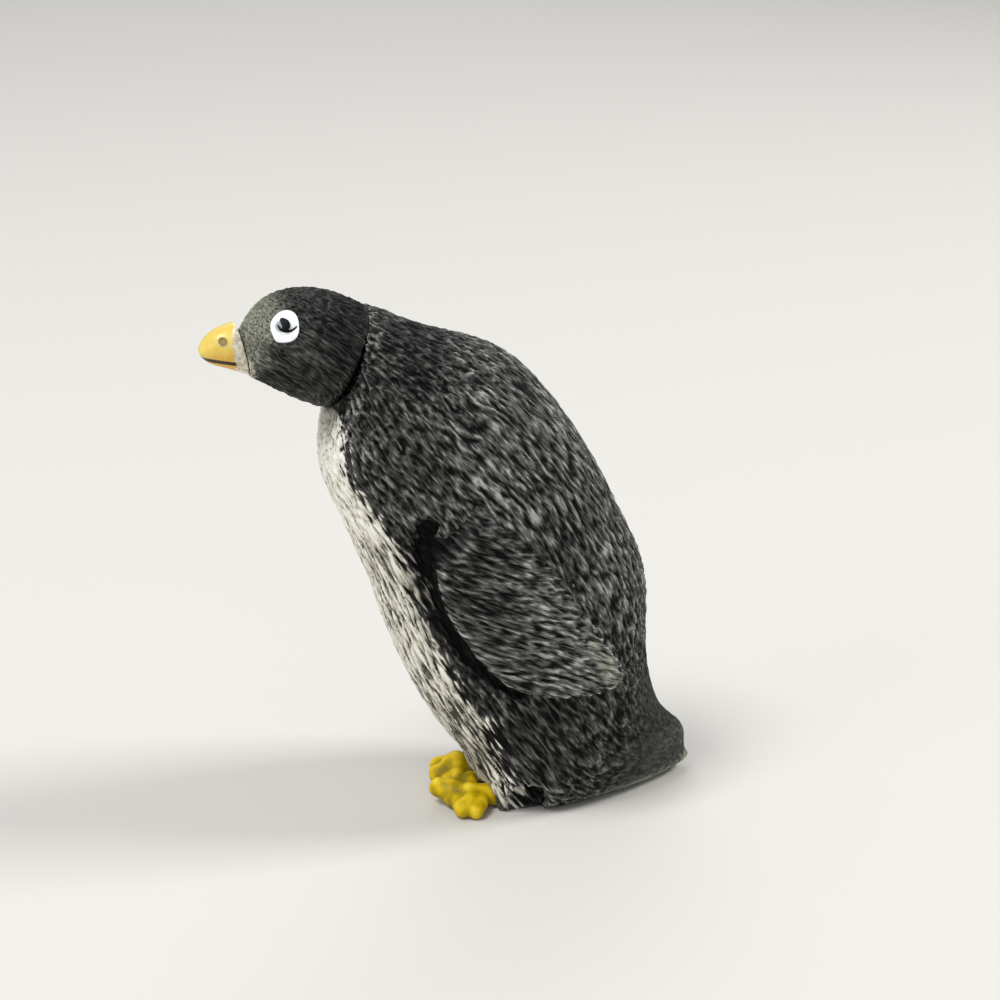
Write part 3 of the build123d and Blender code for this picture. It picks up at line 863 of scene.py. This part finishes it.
class PENGUIN_OT_flippers(bpy.types.Operator):
    """Makes both flippers, free at the front and the tip and blended in behind"""
    bl_idname = "penguin.flippers"
    bl_label = "Flippers"

    def execute(self, context):
        for side, name in SIDES:
            node = "flipper_" + name
            piece = moulded_copy(node, "painted_" + node, grain=0.15, rounds=3)
            mesh = piece.data
            places = places_of(mesh)
            ground = trunk_reach(places, side)
            height = places[:, 0] * side - ground
            along, rear, root = blade_line(places)
            # the blade keeps its full height in front and at the tip, and elsewhere it
            # comes down to the trunk and sinks a little below it
            lowest = 0.3 - 0.18 * smooth_fall(root, *SHOULDER_RANGE)
            raised = smooth_rise(np.minimum(rear, root), *BLADE_RISE)
            free = smooth_rise(along, *FREE_SHARES)
            rise = lowest + (1 - lowest) * np.maximum(raised, free)
            hidden = smooth_fall(np.minimum(rear + 1.5, root), *SHOULDER_RANGE)
            sink = BLADE_SINK + SHOULDER_SINK * hidden
            shown = np.isfinite(height) & (height > 0.02)
            new_height = np.where(shown, height * rise - sink * (1 - rise), height)
            places[:, 0] = np.where(shown, side * (ground + new_height), places[:, 0])
            level = neighbour_mean(mesh, places, rounds=8)
            places += (level - places) * (shown * (1 - rise))[:, None]
            put_places(mesh, places)
            front = line_distance(places, FLIPPER_FRONT)
            # painted shade low on a flipper's front wall, where it meets the trunk
            low = smooth_fall(new_height, 0.9, EDGE_HEIGHT)
            dark = np.nan_to_num(close_to(front, 0.9) * low)
            # a light line along the front edge at full height: dry-brushed grey, and a painted
            # highlight on the edge
            rim = close_to(front - 0.25, 0.3) * (np.nan_to_num(new_height) > EDGE_HEIGHT)
            streak = close_to(rear - 1.0, 0.8) * smooth_rise(along, *STREAK_SHARES)
            put_plumage_values(piece, FLIPPER_STROKES, sideways=0.2, ridge_share=rise,
                               more_brush=0.7 * rim + 1.2 * streak - 0.5 * (1 - rise),
                               olive=0.55 * streak, groove=dark)
            press_strokes(piece, seed=7)
            finish_piece(piece, [node])
        return {"FINISHED"}


def plain_paint(name, roughness, stops, specular=0.5, coat=0.0, lump=1.2):
    """Brushed paint over a moulding, with painted shade in its creases and painted highlights on
    its ridges.
    """
    paint, tree, shader = new_paint(name, roughness, specular, coat)
    spot = add_node(tree, "ShaderNodeTexCoord").outputs["Object"]
    noise = add_node(tree, "ShaderNodeTexNoise", {"Vector": spot, "Scale": 1 / (lump * MM),
                                                  "Detail": 3.0, "Roughness": 0.6})
    cloud = add_node(tree, "ShaderNodeMath", {0: noise.outputs["Fac"], 1: 0.5, 2: 0.25},
                     operation="MULTIPLY_ADD")
    ridge = add_node(tree, "ShaderNodeAttribute", attribute_name="ridge")
    # painted light: the ridge value darkens the creases and lightens the ridges
    level = add_node(tree, "ShaderNodeMath",
                     {0: ridge.outputs["Fac"], 1: 0.45, 2: cloud.outputs[0]},
                     operation="MULTIPLY_ADD", use_clamp=True)
    colour = add_node(tree, "ShaderNodeValToRGB", {0: level.outputs[0]}, stops=stops)
    tree.links.new(colour.outputs[0], shader.inputs["Base Color"])
    bump = add_node(tree, "ShaderNodeBump", {"Height": noise.outputs["Fac"], "Strength": 0.25,
                                             "Distance": 0.1 * MM})
    tree.links.new(bump.outputs[0], shader.inputs["Normal"])
    return paint, tree, shader, colour.outputs[0]


def foot_paint():
    """Satin acrylic on PVC: yellow, with olive painted shade in the hollows and a pale
    painted highlight on the toes, and a soft shine that shows their lumps."""
    return plain_paint("satin yellow acrylic on moulded PVC", 0.5, (
        (0.1, "#877300"), (0.32, "#ab9200"), (0.52, bpy.context.scene.penguin.foot_yellow),
        (0.8, "#ecd13c")), specular=0.2, lump=0.7)[0]


def beak_paint():
    """Satin acrylic on PVC, a little glossy from handling: yellow above, orange below,
    cream at the root, a brown stain for the nostril and a dark mouth line, with painted
    shade in its creases and painted highlights on its ridges."""
    paint, tree, shader, colour = plain_paint("satin beak acrylic on moulded PVC", 0.4, (
        (0.15, "#9a6d1e"), (0.45, bpy.context.scene.penguin.beak_yellow), (0.7, "#e6cd5f"),
        (0.95, "#f1e08a")), coat=0.25)
    mark = {name: add_node(tree, "ShaderNodeAttribute", attribute_name=name).outputs["Fac"]
            for name in ("low", "cream", "stain", "slit")}
    colour = add_node(tree, "ShaderNodeMix", {0: mark["low"], 6: colour, 7: linear("#f2d08a")},
                      data_type="RGBA", blend_type="MULTIPLY").outputs[2]
    spot = add_node(tree, "ShaderNodeTexCoord").outputs["Object"]
    # the cream's edge frays over half a millimetre
    fray = add_node(tree, "ShaderNodeTexNoise", {"Vector": spot, "Scale": 1 / (0.5 * MM),
                                                 "Detail": 2.0})
    torn = add_node(tree, "ShaderNodeMath",
                    {0: fray.outputs["Fac"], 1: 1.6, 2: mark["cream"]},
                    operation="MULTIPLY_ADD")
    share = add_node(tree, "ShaderNodeMapRange", {"Value": torn.outputs[0], "From Min": 0.7,
                                                  "From Max": 1.1})
    bone = add_node(tree, "ShaderNodeValToRGB", {0: fray.outputs["Fac"]}, stops=(
        (0.35, "#a29a8a"), (0.5, "#cbc4b0"), (0.65, "#dcd6c4")))
    colour = painted_over(tree, colour, (
        (share.outputs[0], bone.outputs[0]), (mark["stain"], linear("#857654")),
        (mark["slit"], linear("#2c1a0c"))))
    tree.links.new(colour, shader.inputs["Base Color"])
    return paint


def enamel(name, tones, specular, smudge=None):
    """A thick dab of gloss enamel, slightly uneven, with a smudge where one is given."""
    paint, tree, shader = new_paint(name, 0.4, specular)
    spot = add_node(tree, "ShaderNodeTexCoord").outputs["Object"]
    noise = add_node(tree, "ShaderNodeTexNoise", {"Vector": spot, "Scale": 1 / (0.6 * MM),
                                                  "Detail": 2.0})
    colour = add_node(tree, "ShaderNodeValToRGB", {0: noise.outputs["Fac"]},
                      stops=tones).outputs[0]
    if smudge:
        share = add_node(tree, "ShaderNodeAttribute", attribute_name="smudge").outputs["Fac"]
        colour = painted_over(tree, colour, ((share, linear(smudge)),))
    tree.links.new(colour, shader.inputs["Base Color"])
    bump = add_node(tree, "ShaderNodeBump", {"Height": noise.outputs["Fac"], "Strength": 0.2,
                                             "Distance": 0.08 * MM})
    tree.links.new(bump.outputs[0], shader.inputs["Normal"])
    return paint


def white_enamel():
    """White enamel with a grey smudge ahead of the pupil, the brightest spot of the head."""
    tones = ((0.3, "#dfe3e6"), (0.6, bpy.context.scene.penguin.eye_white))
    return enamel("white enamel dab", tones, 0.4, "#8d939a")


def black_enamel():
    """Black enamel, which shows as a deep drop with hardly any grey on it."""
    return enamel("black enamel dab", ((0.3, "#020202"), (0.7, "#060607")), 0.12)


PAINT_MAKERS = {"plumage": plumage_paint, "foot": foot_paint, "beak": beak_paint,
                "white": white_enamel, "black": black_enamel}
PAINTS = {}


def paint_named(name):
    """The paint of that name, mixed the first time it is asked for."""
    if name not in PAINTS:
        PAINTS[name] = PAINT_MAKERS[name]()
    return PAINTS[name]


class PENGUIN_OT_feet(bpy.types.Operator):
    """Makes both feet with soft lumpy toes"""
    bl_idname = "penguin.feet"
    bl_label = "Feet"

    def execute(self, context):
        for name, runs in FOOT_LUMPS.items():
            node = "foot_" + name
            piece = moulded_lumps(runs, "painted_" + node, grain=0.08, rounds=22)
            mesh = piece.data
            places = places_of(mesh)
            lumps = np.sin(places @ np.array((2.9, 1.3, 0.6)) + 1)
            lumps *= np.sin(places @ np.array((-1.3, 2.3, 1.2)))
            places += normals_of(mesh) * (0.06 * lumps)[:, None]
            places[:, 2] = np.maximum(places[:, 2], 0.0)
            put_places(mesh, places)
            # painted light and shade: lighter on the ridges and where the surface faces up to the
            # lights, and painted shade in the listed hollows low between the toes
            ridge = ridge_of(mesh, rounds=45, reach=0.3) + 0.2 * lumps - 0.4
            ridge += normals_of(mesh)[:, 2] * 0.35
            for x, y, radius in FOOT_HOLLOW_SHADE:
                away = np.hypot(places[:, 0] - x, places[:, 1] - y)
                ridge -= close_to(away, radius) * smooth_fall(places[:, 2], 2.2, 3.4)
            put_value(mesh, "ridge", ridge)
            finish_piece(piece, [node], paint_named("foot"))
        return {"FINISHED"}


class PENGUIN_OT_beak(bpy.types.Operator):
    """Makes the beak with its mouth line and nostrils"""
    bl_idname = "penguin.beak"
    bl_label = "Beak"

    def execute(self, context):
        piece = moulded_copy("beak", "painted_beak", grain=0.06, rounds=10)
        mesh = piece.data
        ahead, level = beak_line(places_of(mesh))
        # painted shade in the beak's creases and painted highlights on its ridges
        put_value(mesh, "ridge", ridge_of(mesh, rounds=14, reach=0.05))
        put_value(mesh, "low", 0.8 * smooth_fall(level, -0.3, 0.9))
        put_value(mesh, "cream", 1.75 - ahead * 1.7 - np.maximum(level - 1.3, 0) * 1.2)
        nostril = np.hypot(ahead - NOSTRIL[0], level - NOSTRIL[1])
        put_value(mesh, "stain", 0.8 * smooth_fall(nostril, *NOSTRIL_EDGE))
        mouth = np.array(MOUTH_WAY) / np.hypot(*MOUTH_WAY)
        gap = np.abs((ahead - MOUTH_CORNER[0]) * mouth[1] - (level - MOUTH_CORNER[1]) * mouth[0])
        slit = smooth_fall(gap, *MOUTH_EDGE) * smooth_rise(ahead, 0.85, 1.0)
        put_value(mesh, "slit", slit)
        finish_piece(piece, ["beak"], paint_named("beak"))
        return {"FINISHED"}


def eye_lines(side):
    """The middle of one side's eye in mm, and the ways ahead and up over its surface."""
    flip = Vector((side, 1, 1))
    out = (EYE_NORMAL * flip).normalized()
    ahead = Vector((0, -1, 0))
    ahead = (ahead - out * ahead.dot(out)).normalized()
    return EYE_PLACE * flip, ahead, ahead.cross(out) * side


def white_stretch(angle):
    """How much the white is stretched at each angle round it, with a drop low ahead."""
    drop = 0.2 * close_to(angle + 0.95, 0.4)
    return 0.97 + drop + 0.05 * np.sin(3 * angle + 1.4)


def pupil_stretch(angle):
    """How much the pupil is stretched at each angle round it, with a hook on top."""
    hook = 0.45 * close_to(angle - 1.1, 0.4)
    return 0.92 + hook - 0.35 * close_to(angle + 0.1, 0.6)


def stretch_dab(mesh, head, ahead, up, stretch):
    """Stretches a dab over the head's surface; gives how far ahead of its middle and above
    it each place was, in mm."""
    places = places_of(mesh)
    middle = places.mean(axis=0)
    run = (places - middle) @ np.array(ahead)
    rise = (places - middle) @ np.array(up)
    more = stretch(np.arctan2(rise, run)) - 1
    shifts = more[:, None] * (run[:, None] * np.array(ahead) + rise[:, None] * np.array(up))
    moved = []
    for place, shift in zip(places, shifts):
        gap = head.find_nearest(Vector(place))[3]
        spot, normal, _, _ = head.find_nearest(Vector(place + shift))
        moved.append(spot + normal * gap)
    put_places(mesh, np.array(moved))
    return run, rise


def brushed_line(name, head, middle, ahead, up):
    """The thin black line below the pupil."""
    curve = bpy.data.curves.new("brush line", "CURVE")
    curve.dimensions = "3D"
    curve.bevel_depth = 0.11
    curve.bevel_resolution = 3
    curve.use_fill_caps = True
    spline = curve.splines.new("NURBS")
    spline.points.add(len(LINE_ROUTE) - 1)
    for point, (x, y) in zip(spline.points, LINE_ROUTE):
        spot, normal, _, _ = head.find_nearest(middle + ahead * x + up * y)
        point.co = (*(spot + normal * LINE_HEIGHT), 1)
        point.radius = 1.0 if abs(x) < 0.6 else 0.55
    spline.order_u = 3
    spline.use_endpoint_u = True
    holder = bpy.data.objects.new("brush line", curve)
    bpy.context.scene.collection.objects.link(holder)
    mesh = bpy.data.meshes.new_from_object(holder)
    bpy.data.objects.remove(holder)
    piece = bpy.data.objects.new("enamel_line_" + name, mesh)
    bpy.context.scene.collection.objects.link(piece)
    finish_piece(piece, [], paint_named("black"))


class PENGUIN_OT_eyes(bpy.types.Operator):
    """Makes the enamel eyes: a white dab, a black pupil and the brushed line below it"""
    bl_idname = "penguin.eyes"
    bl_label = "Eyes"

    def execute(self, context):
        head = surface_tree("head")
        for side, name in SIDES:
            middle, ahead, up = eye_lines(side)
            white = moulded_copy("eye_white_" + name, "enamel_eye_" + name, 0.06, 4)
            run, rise = stretch_dab(white.data, head, ahead, up, white_stretch)
            smudge = np.hypot((run - 0.4) / 0.85, rise)
            put_value(white.data, "smudge", smooth_fall(smudge, 0.36, 0.62))
            finish_piece(white, ["eye_white_" + name], paint_named("white"))
            pupil = moulded_copy("pupil_" + name, "enamel_pupil_" + name, 0.04, 4)
            stretch_dab(pupil.data, head, ahead, up, pupil_stretch)
            finish_piece(pupil, ["pupil_" + name], paint_named("black"))
            brushed_line(name, head, middle, ahead, up)
        return {"FINISHED"}


class PENGUIN_OT_stage(bpy.types.Operator):
    """Makes the pale floor, the soft lights and the camera at the photograph's angle"""
    bl_idname = "penguin.stage"
    bl_label = "Stage"

    def execute(self, context):
        scene = context.scene
        corners = [(-FLOOR_REACH, -FLOOR_REACH, 0), (FLOOR_REACH, -FLOOR_REACH, 0),
                   (FLOOR_REACH, FLOOR_REACH, 0), (-FLOOR_REACH, FLOOR_REACH, 0)]
        floor_mesh = bpy.data.meshes.new("floor")
        floor_mesh.from_pydata(corners, [], [(0, 1, 2, 3)])
        floor = bpy.data.objects.new("floor", floor_mesh)
        scene.collection.objects.link(floor)
        paper, _, shader = new_paint("matte pale paper", 0.9, 0.2)
        shader.inputs["Base Color"].default_value = linear("#cfccc6")
        floor_mesh.materials.append(paper)
        world = bpy.data.worlds.new("soft room")
        world.use_nodes = True
        room = world.node_tree.nodes["Background"]
        room.inputs["Color"].default_value = linear("#dfe3e8")
        room.inputs["Strength"].default_value = 0.5
        scene.world = world
        # the standard transform keeps the white enamel white
        scene.view_settings.view_transform = "Standard"
        for name, place, aim, size, power in LIGHTS:
            light = bpy.data.lights.new(name, "AREA")
            light.size = size
            light.energy = power
            lamp = bpy.data.objects.new(name, light)
            lamp.location = place
            way = Vector(aim) - Vector(place)
            lamp.rotation_euler = way.to_track_quat("-Z", "Y").to_euler()
            scene.collection.objects.link(lamp)
        turn, rise = math.radians(CAMERA_TURN), math.radians(CAMERA_RISE)
        right = Vector((math.cos(turn), math.sin(turn), 0))
        back = Vector((math.sin(turn) * math.cos(rise), -math.cos(turn) * math.cos(rise),
                       math.sin(rise)))
        lens = bpy.data.cameras.new("camera")
        lens.angle = math.radians(CAMERA_ANGLE)
        lens.clip_start = 0.01
        camera = bpy.data.objects.new("camera", lens)
        camera.matrix_world = Matrix.Translation(
            (Vector(CAMERA_AIM) + back * CAMERA_DISTANCE) * MM
        ) @ Matrix((right, back.cross(right), back)).transposed().to_4x4()
        scene.collection.objects.link(camera)
        bpy.context.scene.camera = camera
        return {"FINISHED"}


class PENGUIN_PT_panel(bpy.types.Panel):
    """Lists the figurine's sizes, colours and pieces"""
    bl_label = "Penguin figurine"
    bl_idname = "PENGUIN_PT_panel"
    bl_space_type = "VIEW_3D"
    bl_region_type = "UI"
    bl_category = "Penguin"

    def draw(self, context):
        for name in PenguinSizes.__annotations__:
            self.layout.prop(context.scene.penguin, name)
        for operator in OPERATORS:
            self.layout.operator(operator.bl_idname)


OPERATORS = (PENGUIN_OT_stage, PENGUIN_OT_body, PENGUIN_OT_head, PENGUIN_OT_flippers,
             PENGUIN_OT_feet, PENGUIN_OT_beak, PENGUIN_OT_eyes)


def register():
    """Registers the classes and the scene's settings."""
    for kind in (PenguinSizes, *OPERATORS, PENGUIN_PT_panel):
        bpy.utils.register_class(kind)
    bpy.types.Scene.penguin = bpy.props.PointerProperty(type=PenguinSizes)


def unregister():
    """Takes back what register did."""
    del bpy.types.Scene.penguin
    for kind in (PENGUIN_PT_panel, *OPERATORS, PenguinSizes):
        bpy.utils.unregister_class(kind)


def main():
    """Makes every piece and the stage."""
    register()
    for operator in OPERATORS:
        group, name = operator.bl_idname.split(".")
        getattr(getattr(bpy.ops, group), name)()


if __name__ == "__main__":
    main()
